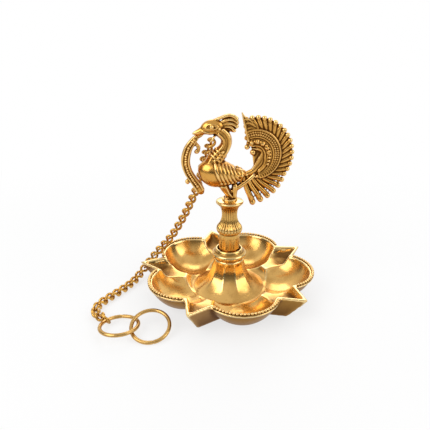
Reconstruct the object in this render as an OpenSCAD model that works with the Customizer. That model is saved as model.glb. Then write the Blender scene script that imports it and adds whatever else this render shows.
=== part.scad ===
// Hanging brass oil lamp: five-lobed wick bowl, turned stem, cast bird with a plume tail,
// and a curb chain that ends in two hanging rings.
// Origin: centre of the bowl's flat foot, on the lamp's axis. +Z up, beak towards -X. Millimetres.

/* [Bowl] */
// Distance from the lamp's axis to the middle of each lobe
lobe_reach = 41; // [39:0.5:43]
// Outer radius of a lobe's rim
lobe_rim_r = 29.5; // [28.5:0.5:31]
// Height of the rim above the surface that the lamp stands on
rim_h = 22; // [20:0.5:25]
// Thickness of the flat rim land
rim_land = 2.4; // [1.6:0.1:3]
// Overhang of the rim land outside the lobe wall
rim_lip = 1.5; // [0.8:0.1:2]
// Wall of the lobes
bowl_wall = 2.6; // [2:0.1:3]
// Depth ground off the bottom of each lobe to make it stand
foot_flat = 0.6; // [0.3:0.1:0.9]
// Radius of the flat foot under the middle of the bowl
foot_r = 40; // [38:0.5:41]
// Direction of the first wick spout, from +X
spout_turn = 29; // [0:1:71]

/* [Rim beading] */
// Diameter of a rim bead
bead_d = 2.5; // [2:0.1:2.5]
// Beads along each lobe's rim
beads_per_lobe = 23; // [15:1:24]

/* [Wick spouts] */
// Distance from the axis to a spout's tip
spout_reach = 77; // [73:0.5:80]
// Distance from the axis to the corners where a spout leaves the rim
spout_root = 57; // [55:0.5:59]
// Half width of a spout at those corners
spout_half_w = 12.5; // [11:0.5:14]
// Distance from the axis to the foot of a spout's raked keel
keel_reach = 60; // [56:0.5:64]
// Wall of a spout's trough
spout_wall = 2.6; // [2:0.1:3.2]
// Depth of the trough at its outer end
trough_depth = 3; // [2:0.5:5]
// Slope of the trough's floor down to the oil, in degrees
trough_slope = 12; // [8:1:15]

/* [Centre cone] */
// Radius of the cone's top
cone_r = 12.6; // [12:0.2:13.2]
// Height of the cone's top
cone_h = 31.5; // [29:0.5:34]
// Radius of the cone's skirt, where it runs out on the bowl's floor
skirt_r = 31; // [30:0.5:32]
// Radius of the hollow of the oil channel round the skirt
channel_r = 10; // [9:0.5:11]

/* [Collar] */
// Largest radius of the collar ring
collar_r = 14; // [13.4:0.1:14.6]
// Height of the collar ring
collar_h = 8.4; // [7:0.2:10]

/* [Stem] */
// Radius of the plain shank
shank_r = 8.4; // [7.6:0.1:8.8]
// Height from the shank's seat to the fluted bulge
shank_h = 22.4; // [20:0.2:26]
// Radius of the bulge
bulge_r = 10.5; // [9.8:0.1:11.5]
// Height of the bulge
bulge_h = 7; // [6:0.2:8]
// Radius of the waist
waist_r = 6.1; // [5.6:0.1:7]
// Height of the waisted part
waist_h = 16; // [14:0.5:20]
// Radius of the saucer flange
flange_r = 11; // [10:0.2:13]
// Height of the saucer flange
flange_h = 4.7; // [4:0.1:6]
// Radius of the stem's screwed spigot
spigot_r = 5; // [4:0.1:6]
// Length of the stem's screwed spigot
spigot_l = 14; // [10:0.5:18]
// Radial room around a screwed spigot
fit_gap = 0.15; // [0.1:0.05:0.25]

/* [Bird] */
// Radius of the bird's foot plate
foot_plate_r = 6.2; // [5.6:0.1:7]
// Thickness of the bird's foot plate
foot_plate_t = 1.6; // [1.2:0.1:2]
// Radius of the bird's screwed spigot
bird_spigot_r = 2.6; // [2.2:0.1:3]
// Length of the bird's screwed spigot
bird_spigot_l = 10; // [7:0.5:12]
// Half thickness of the tail plume's web
plume_half_t = 1.8; // [1.4:0.1:2.4]
// Barbs along the plume's outer edge
barb_count = 21; // [17:1:23]
// Radius of the ball at the end of a barb
barb_ball_r = 1.75; // [1.5:0.05:1.9]

/* [Chain] */
// Diameter of the chain's wire
wire_d = 1.9; // [1.7:0.05:2]
// Pitch of the links
link_pitch = 7.4; // [7.2:0.05:7.7]
// Overall width of a link
link_w = 7.2; // [7.1:0.05:7.4]
// Room between two links where they hook together
link_gap = 0.35; // [0.25:0.05:0.45]
// Radius of the round end link, to the middle of its wire
end_link_r = 4.4; // [4.2:0.1:4.8]

/* [Rings] */
// Radius of a hanging ring, to the middle of its wire
ring_r = 13.8; // [13.6:0.1:14.4]
// Diameter of a hanging ring's wire
ring_wire_d = 2.8; // [2.5:0.05:2.9]

/* [Hidden] */
lobe_n = 5;
lobe_step = 360 / lobe_n;
link_n = 30;
function two_digits(k) = str(k < 10 ? "0" : "", k);
link_names = [for (k = [1 : link_n]) str("chain_link_", two_digits(k))];

brass = [0.83, 0.64, 0.27];
old_brass = [0.66, 0.47, 0.20];
chain_brass = [0.80, 0.57, 0.18];

// Lobes: spheres that meet the rim land and sink foot_flat below the floor
wall_r = lobe_rim_r - rim_lip;
wall_top = rim_h - rim_land + foot_flat;
lobe_r = (wall_r * wall_r + wall_top * wall_top) / (2 * wall_top);
lobe_z = lobe_r - foot_flat;
hollow_r = lobe_r - bowl_wall;
rim_inner_r = sqrt(hollow_r * hollow_r - pow(lobe_z - rim_h, 2));
bead_ring_r = (lobe_rim_r + rim_inner_r) / 2;
// Beads run between the corners of two spouts
spout_corner = [spout_root, spout_half_w] - lobe_reach * [cos(lobe_step / 2), sin(lobe_step / 2)];
bead_margin = 4;
bead_span = 2 * (lobe_step / 2 - atan2(spout_corner.y, spout_corner.x) - bead_margin);

// Cone: an arc from its top down to its skirt, sunk into the foot
cone_arc_r = 30.6;
cone_steps = 9;
cone_sink = bowl_wall / 2;

// Oil channel: a hollow round the skirt that joins the lobes
channel_floor = 3;
channel_mid = skirt_r - channel_r / 2;
channel_steps = 8;
channel_arc = 82;

// Hub: the solid middle of the bowl, under the channel and the troughs
hub_h = 13;
hub_r = 46;
hub_sink = 2;
// Troughs run in under the skirt, wider than the ridge between two lobes
trough_root = skirt_r - 9;
trough_half_w = 12;

// Turned details of the collar
collar_bore = shank_r + fit_gap;
collar_wall = 1.8;
collar_bead_r = 2.1;
collar_seat_r = cone_r - 0.6;
collar_foot_h = 1;
collar_lip_h = 2;
collar_lip = 0.6;

// Turned details of the stem
bulge_step = 1.2;
bulge_step_h = 0.4;
bulge_round = 0.6;
flange_edge = 0.5;
flange_heights = [0.45, 0.62, 0.8] * flange_h;
perch_land = 1;

// Heights up the stem
seat_z = cone_h;
bulge_z = seat_z + shank_h;
waist_z = bulge_z + bulge_h;
flange_z = waist_z + waist_h;
stem_top = flange_z + flange_h;
perch = [0, 0, stem_top];

// Numbers of facets: true rounds, plain castings and fine trim
round_fn = 64;
cast_fn = 10;
bead_fn = 8;
limb_fn = 6;

module at_each_lobe() {
    for (k = [0 : lobe_n - 1])
        rotate([0, 0, spout_turn + (k + 0.5) * lobe_step]) translate([lobe_reach, 0, 0]) children();
}

module at_each_spout() {
    for (k = [0 : lobe_n - 1]) rotate([0, 0, spout_turn + k * lobe_step]) children();
}

// Everything on the inner side of a plane through p whose outward normal is n
module behind_plane(p, n, size = 160) {
    translate(p)
        rotate([0, acos(n.z / norm(n)), atan2(n.y, n.x)])
            translate([-size / 2, -size / 2, -size]) cube(size);
}

// Two raked sides that meet in a keel, with the top edges level
module prow(tip, root, half_w, rake) {
    side = cross([root - tip.x, half_w, 0], rake);
    outward = side.y > 0 ? side : -side;
    intersection() {
        behind_plane(tip, outward);
        behind_plane(tip, [outward.x, -outward.y, outward.z]);
    }
}

spout_rake = [keel_reach - spout_reach, 0, -rim_h];

module spout_block() intersection() {
    prow([spout_reach, 0, rim_h], spout_root, spout_half_w, spout_rake);
    translate([lobe_reach, -lobe_rim_r, 0]) cube([spout_reach, 2 * lobe_rim_r, 2 * rim_h]);
}

// The trough stops short of the tip by the spout's wall, and its floor runs down between the lobes
module spout_trough() {
    half_angle = atan2(spout_half_w, spout_reach - spout_root);
    setback = spout_wall / sin(half_angle);
    end = spout_reach - setback;
    intersection() {
        prow([end, 0, rim_h], spout_root - setback, spout_half_w, spout_rake);
        translate([end, 0, rim_h - trough_depth])
            rotate([0, -trough_slope, 0])
                translate([-2 * lobe_reach, -lobe_reach, 0]) cube(2 * lobe_reach);
        translate([trough_root, -trough_half_w, 0]) cube([spout_reach, 2 * trough_half_w, 2 * rim_h]);
    }
}

module cone_body() {
    arc = [for (k = [0 : cone_steps])
        let (r = cone_r + (skirt_r - cone_r) * pow(k / cone_steps, 2))
        [r, cone_h - sqrt(pow(cone_arc_r, 2) - pow(cone_arc_r - (r - cone_r), 2))]];
    rotate_extrude($fn = round_fn)
        polygon(concat([[0, cone_sink], [0, cone_h]], arc, [[skirt_r, cone_sink]]));
}

module oil_channel() {
    middle = [channel_mid, channel_floor + channel_r];
    arc = [for (k = [0 : channel_steps])
        let (a = channel_arc * k / channel_steps - 90) middle + channel_r * [cos(a), sin(a)]];
    rotate_extrude($fn = round_fn)
        polygon(concat([[0, channel_floor]], arc, [[arc[channel_steps].x, 2 * rim_h], [0, 2 * rim_h]]));
}

// Flat land round all the lobes, in one level slab
module rim_slab() intersection() {
    at_each_lobe() cylinder(h = 2 * rim_h, r = lobe_rim_r, $fn = round_fn);
    translate([0, 0, rim_h - rim_land]) cylinder(h = 2 * rim_land, r = 3 * lobe_reach, $fn = round_fn);
}

// Lobes, land and spouts, ground level at the foot and at the rim
module bowl_blank() intersection() {
    union() {
        at_each_lobe() translate([0, 0, lobe_z]) sphere(lobe_r, $fn = round_fn);
        translate([0, 0, -hub_sink])
            cylinder(h = hub_h + hub_sink, r1 = foot_r, r2 = hub_r, $fn = round_fn);
        rim_slab();
        at_each_spout() spout_block();
    }
    cylinder(h = rim_h, r = 3 * lobe_reach, $fn = round_fn);
}

module bowl() color(brass) difference() {
    union() {
        difference() {
            bowl_blank();
            at_each_lobe() translate([0, 0, lobe_z]) sphere(hollow_r, $fn = round_fn);
            at_each_spout() spout_trough();
            oil_channel();
        }
        cone_body();
    }
    spigot_socket(spigot_r, spigot_l, seat_z);
}

module rim_beading() color(brass)
    at_each_lobe() for (k = [0 : beads_per_lobe - 1])
        rotate([0, 0, bead_span * (k / (beads_per_lobe - 1) - 0.5)])
            translate([bead_ring_r, 0, rim_h]) intersection() {
                sphere(d = bead_d, $fn = round_fn);
                translate([-bead_d, -bead_d, 0]) cube(2 * bead_d);
            }

module stem_collar() color(brass) {
    top = seat_z + collar_h;
    bead_x = collar_r - collar_bead_r;
    bead_z = seat_z + collar_foot_h + collar_bead_r;
    neck = collar_bore + collar_wall;
    rotate_extrude($fn = round_fn) difference() {
        union() {
            polygon([
                [collar_bore, seat_z], [collar_seat_r, seat_z], [bead_x, seat_z + collar_foot_h],
                [bead_x, bead_z + collar_bead_r], [neck + collar_lip, top - collar_lip_h], [neck, top],
                [collar_bore, top]
            ]);
            translate([bead_x, bead_z]) circle(collar_bead_r, $fn = round_fn);
        }
        translate([0, seat_z]) square([collar_bore, collar_h]);
    }
}

// Drilled socket for a screwed spigot, open at its top
module spigot_socket(r, depth, top) {
    translate([0, 0, top - depth - fit_gap]) cylinder(h = depth + 1, r = r + fit_gap, $fn = round_fn);
}

bulge_outline = [for (a = [-60 : 20 : 60])
    [bulge_r - bulge_h / 2 * (1 - cos(a)) * bulge_round, bulge_z + bulge_h * (0.5 + 0.5 * sin(a))]];
waist_outline = [for (a = [0 : 20 : 180])
    [waist_r + (shank_r - waist_r) * (0.5 + 0.5 * cos(2 * a)), waist_z + waist_h * a / 180]];
flange_outline = [
    [flange_r - flange_edge, flange_z + flange_heights[0]],
    [flange_r, flange_z + flange_heights[1]],
    [flange_r - flange_edge, flange_z + flange_heights[2]]
];

module stem() color(brass) difference() {
    rotate_extrude($fn = round_fn) polygon(concat(
        [[0, seat_z - spigot_l], [spigot_r, seat_z - spigot_l], [spigot_r, seat_z]],
        [[shank_r, seat_z], [shank_r, bulge_z], [shank_r + bulge_step, bulge_z + bulge_step_h]],
        bulge_outline, waist_outline, flange_outline,
        [[foot_plate_r + perch_land, stem_top], [0, stem_top]]
    ));
    spigot_socket(bird_spigot_r, bird_spigot_l, stem_top);
}

// Smooth curve through hand-set rows of numbers, with some steps between each two rows
function catmull(a, b, c, d, t) = 0.5 * (
    2 * b + (c - a) * t + (2 * a - 5 * b + 4 * c - d) * t * t + (3 * b - a - 3 * c + d) * t * t * t);
function smooth_rows(rows, steps) = let (last = len(rows) - 1) concat(
    [for (k = [0 : last - 1], s = [0 : steps - 1])
        catmull(rows[max(k - 1, 0)], rows[k], rows[k + 1], rows[min(k + 2, last)], s / steps)],
    [rows[last]]);
function unit(v) = v / norm(v);

// Faces of a tube of rings, left open as a loop or closed by two end caps
function tube_faces(rings, sides, looped) = concat(
    [for (r = [0 : rings - (looped ? 1 : 2)], s = [0 : sides - 1], half = [0, 1])
        let (n = (r + 1) % rings, e = (s + 1) % sides)
        half == 0
            ? [r * sides + s, n * sides + s, n * sides + e]
            : [r * sides + s, n * sides + e, r * sides + e]],
    looped ? [] : [[for (s = [0 : sides - 1]) s]],
    looped ? [] : [[for (s = [sides - 1 : -1 : 0]) (rings - 1) * sides + s]]);

// Casting swept in the bird's own plane. Each row is x, height, half height across and half width in Y.
module cast_sweep(rows, sides = cast_fn, steps = 3) {
    path = smooth_rows(rows, steps);
    last = len(path) - 1;
    points = [for (k = [0 : last], s = [0 : sides - 1])
        let (
            from = path[max(k - 1, 0)],
            to = path[min(k + 1, last)],
            along = unit([to[0] - from[0], to[1] - from[1]]),
            a = 360 * (s + 0.5) / sides,
            across = path[k][2] * cos(a)
        )
        [path[k][0] - along.y * across, -path[k][3] * sin(a), path[k][1] + along.x * across]];
    translate(perch) polyhedron(points, tube_faces(last + 1, sides, false), convexity = 6);
}

module ball(x, z, r, y = 0, fn = bead_fn) translate(perch + [x, y, z]) sphere(r, $fn = fn);

module limb(a, b, ra, rb, ya = 0, yb = 0) hull() {
    ball(a.x, a.y, ra, ya, limb_fn);
    ball(b.x, b.y, rb, yb, limb_fn);
}

// Rows below are x, height above the perch, half height and half width
torso_rows = [
    [-24.4, 21.8, 0.6, 0.6], [-22.6, 22.2, 6.2, 5.4], [-17.5, 22.4, 9.9, 8.8], [-11.5, 21.8, 11.2, 10],
    [-5, 20.8, 10.2, 9.6], [0.5, 20.2, 8.2, 8.2], [5, 20, 6.1, 6.4], [9.2, 21.2, 3.9, 4.2], [12.2, 22, 1.5, 1.8]
];
neck_rows = [
    [-13.5, 27, 7.4, 7], [-11, 33, 6.6, 6.2], [-7.6, 37.2, 5.2, 5], [-4.4, 41.4, 4.4, 4.3],
    [-3, 46, 4.2, 4.1], [-4.2, 50, 4.3, 4.1], [-8, 53.6, 4.4, 4.1], [-12, 55.6, 4.4, 4]
];
head_rows = [
    [-5.6, 56.8, 2.2, 2], [-8.5, 57, 4.4, 3.8], [-13.5, 56.6, 5.6, 4.6], [-18, 55.4, 4.9, 4.1],
    [-21.2, 53.8, 3, 2.8], [-24.5, 52.6, 2.1, 2], [-27, 52, 1.3, 1.2], [-28.4, 51.2, 0.4, 0.4]
];
crest_root = [-8, 57.4];
crest_arch = [[-3, 64.6], [-1.6, 61.2], [-1, 58], [-1.6, 55]];
crest_tips = [[4.2, 62.4], [5, 59.4], [4.2, 56.4], [2.4, 53.6]];
lower_beak_ends = [[-21, 51.6], [-25.6, 50.4]];
eye_at = [-14.5, 57.4];
eye_y = 4.1;
neck_band_at = [[-7.2, 37.6], [-8.8, 35.6], [-10.4, 33.6]];
neck_band_r = [5.5, 6.1, 6.8];
neck_lean = -36;
wing_x = [-8.5, -5, -1.5, 2, 5.5];
// Leg bones: two ends as x, height, and their radii and distances from the bird's plane
leg_bones = [
    [[-5, 12], [-2.2, 7], 4, 2.9, 3, 2.4], [[-2.2, 7], [1.6, 2.4], 2.9, 1.7, 2.4, 2.2],
    [[1.6, 2.4], [-3.4, 1.6], 1.7, 1.1, 2.2, 3.2], [[3.8, 11.6], [3.6, 2.2], 2.6, 1.7, 1.6, 2]
];

module bird_torso() cast_sweep(torso_rows, 14, 3);

module bird_head() {
    cast_sweep(head_rows, cast_fn, 2);
    limb(lower_beak_ends[0], lower_beak_ends[1], 1.5, 0.7);
}

module neck_band(at, r) translate(perch + [at.x, 0, at.y]) rotate([0, neck_lean, 0])
    rotate_extrude($fn = cast_fn) translate([r - 0.5, 0]) circle(0.95, $fn = limb_fn);

// One raised covert feather that bends down and back over the flank
module covert(x, side) {
    top = [x, 25.5];
    middle = [x + 3.4, 20.8];
    low = [x + 2.6, 15.4];
    flank = 8.9 - abs(x + 6) * 0.28;
    limb(top, middle, 1.2, 1.5, side * (flank - 2.2), side * (flank - 0.2));
    limb(middle, low, 1.5, 1, side * (flank - 0.2), side * (flank - 3.6));
}

// Cast eye under the chin: a round loop whose lower bar takes the first link
chin_eye_r = 2.6;
module chin_eye() {
    f = link_frames[0];
    cast_loop(joint_points[0] + f[0] * (hook_half - chin_eye_r), f[0], unit(f[1] + f[2]), chin_eye_r, wire_d);
}

module bird_body() color(old_brass) {
    bird_torso();
    cast_sweep(neck_rows, cast_fn, 2);
    bird_head();
    for (k = [0 : len(crest_tips) - 1]) {
        limb(crest_root, crest_arch[k], 1.6, 1.4);
        limb(crest_arch[k], crest_tips[k], 1.4, 1.3);
    }
    for (k = [0 : len(neck_band_at) - 1]) neck_band(neck_band_at[k], neck_band_r[k]);
    for (side = [1, -1]) {
        ball(eye_at.x, eye_at.y, 1.2, side * eye_y);
        for (x = wing_x) covert(x, side);
        for (b = leg_bones) limb(b[0], b[1], b[2], b[3], side * b[4], side * b[5]);
    }
    chin_eye();
    translate(perch) cylinder(h = foot_plate_t, r = foot_plate_r, $fn = 20);
    translate(perch - [0, 0, bird_spigot_l])
        cylinder(h = bird_spigot_l + foot_plate_t / 2, r = bird_spigot_r, $fn = 20);
}

// Plume: a fan of ball-ended barbs round the outside of a curled, beaded web
plume_c = [19.3, 36.4];
plume_web_r = 18.5;
plume_tip = [7.8, 68];
barb_first = 98;
barb_last = -92;
barb_reach = 27;
barb_reach_low = 38.5;
barb_low_from = -35;
function fan_point(a, r) = plume_c + r * [cos(a), sin(a)];
function barb_end(a) = a > barb_low_from
    ? barb_reach
    : barb_reach + (barb_reach_low - barb_reach) * (barb_low_from - a) / (barb_low_from - barb_last);
// Thin fan between the barbs, which the balls stand out from
fan_half_t = 0.9;
fan_inset = 3;
fan_steps = 24;
fan_angles = [for (k = [0 : fan_steps]) barb_first + (barb_last - barb_first) * k / fan_steps];
fan_outline = concat(
    [for (a = fan_angles) fan_point(a, barb_end(a) - fan_inset)],
    [for (k = [fan_steps : -1 : 0]) fan_point(fan_angles[k], plume_web_r - fan_inset)]
);
web_outer = [for (a = [104 : -13 : -91]) fan_point(a, plume_web_r + (a > 84 ? (a - 84) * 0.28 : 0))];
web_inner = [
    [14.2, 20.6], [18.7, 21.9], [22.9, 24.5], [26, 28.9], [26.4, 34], [25, 38.4], [23.3, 41.3], [20, 42.9],
    [17.2, 42.6], [14.4, 41.2], [13.4, 45], [12.4, 51.4], [10.6, 57.2], [9.4, 61.4], plume_tip
];
inner_ridge = [
    [13.4, 21.4, 1.9, 2.6], [18.7, 22.2, 1.7, 2.7], [22.9, 24.7, 1.5, 2.8], [26, 29, 1.4, 2.8],
    [26.6, 34.2, 1.4, 2.8], [25, 38.6, 1.4, 2.8], [21.6, 42, 1.4, 2.8], [17.6, 42.2, 1.4, 2.6]
];
outer_ridge = [
    [21.5, 19, 1.3, 2.6], [28.4, 23, 1.3, 2.7], [31.7, 28.2, 1.3, 2.8], [32.9, 33, 1.3, 2.8],
    [32.6, 38.4, 1.3, 2.8], [30.6, 43.8, 1.3, 2.8], [26.8, 48.4, 1.3, 2.8], [21.8, 51, 1.3, 2.7],
    [17, 50.2, 1.3, 2.6], [15, 46.6, 1.2, 2.5]
];
stalk_rows = [
    [13, 22.6, 1.3, 2.1], [18.4, 24.6, 1.3, 2.1], [22, 28.4, 1.2, 2], [23.2, 31.6, 1.2, 2]
];
curl_balls = [[17.6, 39.6, 2.3], [22.2, 33, 2.2], [12.2, 55.6, 2.2], [12.7, 50.8, 2.2], [13.6, 43.4, 2.2]];
bead_row = [
    [18.4, 46.4], [22.4, 46.3], [26.7, 44.1], [29, 40.9], [29.8, 37.3], [29.7, 33], [29.2, 29.3], [27.9, 26],
    [25.8, 23.4], [22.6, 20.8]
];

module bird_tail() color(old_brass) difference() {
    union() {
        translate(perch) rotate([90, 0, 0])
            linear_extrude(2 * plume_half_t, center = true) polygon(concat(web_outer, web_inner));
        translate(perch) rotate([90, 0, 0])
            linear_extrude(2 * fan_half_t, center = true) polygon(fan_outline);
        for (k = [0 : barb_count - 1]) {
            a = barb_first + (barb_last - barb_first) * k / (barb_count - 1);
            end = barb_end(a);
            limb(fan_point(a + 6, plume_web_r - 1), fan_point(a, end), 2.3, 1.2);
            p = fan_point(a, end);
            ball(p.x, p.y, barb_ball_r);
        }
        limb([12.5, 57], plume_tip, 2.1, 0.7);
        for (rows = [inner_ridge, outer_ridge, stalk_rows]) cast_sweep(rows, 6, 2);
        for (p = bead_row) ball(p.x, p.y, 2.6);
        for (p = curl_balls) ball(p.x, p.y, p.z);
    }
    bird_torso();
}

vine_rows = [
    [-24.8, 49.6, 1.6, 2.2], [-28, 46, 2.6, 2.8], [-31.4, 41, 3.2, 3], [-33.4, 35, 3.5, 3.1],
    [-33.8, 29, 3.5, 3.1], [-32, 22.6, 3.3, 3], [-28.4, 16.6, 3.2, 2.9], [-25, 11.6, 3.6, 2.8],
    [-22.6, 7, 3.4, 2.4], [-21.6, 4.6, 1.4, 1.2]
];
vine_bead_rows = [for (row = vine_rows) [row[0], row[1]]];
vine_tendril = [[-29, 43.2], [-25.6, 44], [-23.8, 41.8], [-24.2, 38.8], [-26, 38]];
vine_hook = [[-29.6, 18.4], [-31.8, 17], [-32.8, 14.8]];

module bird_vine() color(old_brass) difference() {
    union() {
        cast_sweep(vine_rows, 8, 2);
        for (k = [2 : 2 : 2 * (len(vine_rows) - 3)]) {
            p = smooth_rows(vine_bead_rows, 2)[k];
            ball(p.x, p.y, 1.3, 2.5);
            ball(p.x, p.y, 1.3, -2.5);
        }
        for (k = [1 : len(vine_tendril) - 1]) limb(vine_tendril[k - 1], vine_tendril[k], 1.5, 1.5);
        for (k = [1 : len(vine_hook) - 1]) limb(vine_hook[k - 1], vine_hook[k], 1.5, 1.4);
        ball(vine_hook[2].x, vine_hook[2].y, 2.1);
        limb([-24.4, 49.4], [-21.6, 50.6], 1.5, 1.2);
    }
    bird_torso();
    bird_head();
}

// Chain route: from the chin, down behind the breast, over the rim beside a spout, along the floor
lie_z = link_w / 2 * sin(45) + wire_d * 0.28;
chin = perch + [-13.6, 0, 46.9];
rim_edge = lobe_reach + lobe_rim_r;
rim_cross = spout_turn + 2 * lobe_step - 15.3;
rim_rest = rim_h + bead_d / 2 + lie_z + 0.4;
function around(r, a, z) = [r * cos(a), r * sin(a), z];
chain_route = [
    chin,
    chin + [-3.4, 6, -8], chin + [-6.6, 13.2, -18.4], chin + [-9, 16.8, -31],
    chin + [-13.6, 18.6, -45.4], chin + [-24.4, 23.6, -70],
    around(rim_edge - 16.1, rim_cross - 3, rim_rest + 13), around(rim_edge - 5.7, rim_cross, rim_rest),
    [-66.8, 24.6, 18.4],
    [-72.8, 22.4, 11], [-77.6, 17, lie_z + 3], [-81.4, 9.6, lie_z + 0.5], [-88.6, -3.4, lie_z],
    [-97, -15.4, lie_z], [-102.4, -23.8, lie_z], [-104.8, -29.6, lie_z], [-104.8, -35.6, lie_z + 0.3],
    [-102.4, -41.2, 4], [-97.8, -45.4, 4.6], [-86, -53, 5.4], [-74, -60.6, 6.2]
];
route_steps = 24;
route = smooth_rows(chain_route, route_steps);
// The next joint lies one pitch away, measured straight, so the hooks keep their room in the bends
function next_joint(p, k) = norm(route[k] - p) >= link_pitch
    ? let (near = norm(route[k - 1] - p), far = norm(route[k] - p))
        [route[k - 1] + (route[k] - route[k - 1]) * (link_pitch - near) / (far - near), k]
    : next_joint(p, k + 1);
function walk(p, k, left) = left == 0
    ? [p]
    : let (q = next_joint(p, k)) concat([p], walk(q[0], q[1], left - 1));
joint_points = walk(chin, 1, link_n);
link_axes = [for (k = [0 : link_n - 1]) unit(joint_points[k + 1] - joint_points[k])];
function square_to(v, t) = unit(v - (v * t) * t);
function carried(k) = square_to(k == link_n - 1 ? [0, 0, 1] : carried(k + 1), link_axes[k]);
// Each link's frame: along the chain, sideways, and up from its flat side
link_frames = [for (k = [0 : link_n - 1])
    let (t = link_axes[k], n = carried(k)) [t, cross(n, t), n]];

// Curb link: an oval of wire whose round ends are turned 45 degrees each way
link_half_w = (link_w - wire_d) / 2;
// From a joint's point to the middle of each of the two bars that hook there
hook_half = (wire_d + link_gap) / 2;
link_half_l = link_pitch / 2 + hook_half;
link_straight = link_half_l - link_half_w;
link_sides = 6;
function link_twist(x) = let (u = max(-1, min(1, x / link_straight))) 45 * u * (1.5 - 0.5 * u * u);
link_outline = concat(
    [for (a = [-90 : 45 : 90]) [link_straight + link_half_w * cos(a), link_half_w * sin(a)]],
    [for (u = [1, -1]) [link_straight * u / 3, link_half_w]],
    [for (a = [90 : 45 : 270]) [-link_straight + link_half_w * cos(a), link_half_w * sin(a)]],
    [for (u = [-1, 1]) [link_straight * u / 3, -link_half_w]]
);
link_path = [for (p = link_outline) let (a = link_twist(p.x)) [p.x, p.y * cos(a), p.y * sin(a)]];

// Closed loop of round wire along a path, in the frame t, b, n about a middle point
module wire_loop(path, at, frame, d) {
    last = len(path);
    points = [for (k = [0 : last - 1], s = [0 : link_sides - 1])
        let (
            along = unit(path[(k + 1) % last] - path[(k + last - 1) % last]),
            out = square_to(path[k], along),
            side = cross(along, out),
            a = 360 * s / link_sides,
            p = path[k] + d / 2 * (cos(a) * out + sin(a) * side)
        )
        at + p.x * frame[0] + p.y * frame[1] + p.z * frame[2]];
    polyhedron(points, tube_faces(last, link_sides, true), convexity = 6);
}

module cast_loop(at, t, b, r, d) {
    path = [for (a = [0 : 30 : 330]) [r * cos(a), r * sin(a), 0]];
    wire_loop(path, at, [t, b, cross(t, b)], d);
}

module chain_link(k) color(chain_brass)
    wire_loop(link_path, (joint_points[k] + joint_points[k + 1]) / 2, link_frames[k], wire_d);

// Round end link, square to the last curb link's end
last_frame = link_frames[link_n - 1];
end_t = last_frame[0];
end_roll = 65;
end_b = cos(end_roll) * last_frame[1] - sin(end_roll) * last_frame[2];
end_at = joint_points[link_n] + end_t * (end_link_r - hook_half);
module end_link() color(chain_brass) cast_loop(end_at, end_t, end_b, end_link_r, wire_d);

// Rings: the inner one hangs in the end link and the outer one is linked through it
ring_turn = -37;
inner_tilt = [-8, -1.2];
outer_tilt = [18, 0];
ring_spacing = 22.8;
ring_line = [1, -0.05, 0];
hook_turn = 45;
hook_reach = end_link_r - (wire_d + ring_wire_d) / 2 - 1.2 * link_gap;
ring_hook = end_at + hook_reach * (cos(hook_turn) * end_t + sin(hook_turn) * end_b);
function tilted(v, tilt) = let (
        w = [v.x, v.y * cos(tilt[0]) - v.z * sin(tilt[0]), v.y * sin(tilt[0]) + v.z * cos(tilt[0])]
    ) [w.x * cos(tilt[1]) + w.z * sin(tilt[1]), w.y, w.z * cos(tilt[1]) - w.x * sin(tilt[1])];
inner_hook_dir = tilted([-cos(ring_turn), -sin(ring_turn), 0], inner_tilt);
inner_at = ring_hook - ring_r * inner_hook_dir;
outer_low = ring_r * sin(outer_tilt[0]) + ring_wire_d / 2;
outer_at = [inner_at.x, inner_at.y, outer_low] + ring_spacing * ring_line;

module wire_ring(at, tilt) color(chain_brass) translate(at) rotate([0, tilt[1], 0]) rotate([tilt[0], 0, 0])
    rotate_extrude($fn = round_fn) translate([ring_r, 0]) circle(d = ring_wire_d, $fn = round_fn);
module inner_ring() wire_ring(inner_at, inner_tilt);
module hanging_ring() wire_ring(outer_at, outer_tilt);

bowl();
rim_beading();
stem_collar();
stem();
bird_body();
bird_tail();
bird_vine();
for (k = [0 : link_n - 1]) chain_link(k);
end_link();
inner_ring();
hanging_ring();
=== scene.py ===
import bmesh
import bpy
import math
import numpy as np
from mathutils import Matrix, Vector
from mathutils.bvhtree import BVHTree


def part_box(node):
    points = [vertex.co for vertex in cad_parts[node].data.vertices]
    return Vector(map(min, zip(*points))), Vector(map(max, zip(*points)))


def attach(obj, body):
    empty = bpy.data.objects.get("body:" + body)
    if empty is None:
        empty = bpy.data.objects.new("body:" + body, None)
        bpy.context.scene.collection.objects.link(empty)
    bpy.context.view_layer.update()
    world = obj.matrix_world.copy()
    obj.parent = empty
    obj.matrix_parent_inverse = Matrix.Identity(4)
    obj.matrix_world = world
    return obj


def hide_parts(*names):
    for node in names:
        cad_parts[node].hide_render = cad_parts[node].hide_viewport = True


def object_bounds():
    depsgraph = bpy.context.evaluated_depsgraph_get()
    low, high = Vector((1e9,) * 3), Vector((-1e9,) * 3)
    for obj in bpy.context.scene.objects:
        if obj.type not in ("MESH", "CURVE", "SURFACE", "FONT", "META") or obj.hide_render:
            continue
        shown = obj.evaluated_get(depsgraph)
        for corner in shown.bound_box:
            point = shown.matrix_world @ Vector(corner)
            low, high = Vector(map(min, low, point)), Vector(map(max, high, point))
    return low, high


# Hanging brass oil lamp: lobed wick bowl, turned stem, cast bird with a plume, curb chain and two rings.
# Shapes are worked in millimetres and scaled to metres when a piece is finished.

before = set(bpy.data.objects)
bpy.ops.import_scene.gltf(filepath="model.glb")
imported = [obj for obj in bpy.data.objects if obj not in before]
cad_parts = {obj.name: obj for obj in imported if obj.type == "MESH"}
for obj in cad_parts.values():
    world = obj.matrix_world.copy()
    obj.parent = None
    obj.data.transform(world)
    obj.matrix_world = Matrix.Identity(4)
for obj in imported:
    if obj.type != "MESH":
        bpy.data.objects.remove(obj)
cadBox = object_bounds()
scene = bpy.context.scene
mm = 0.001  # in metres
perch = 81.6  # height of the bird's seat


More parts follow.
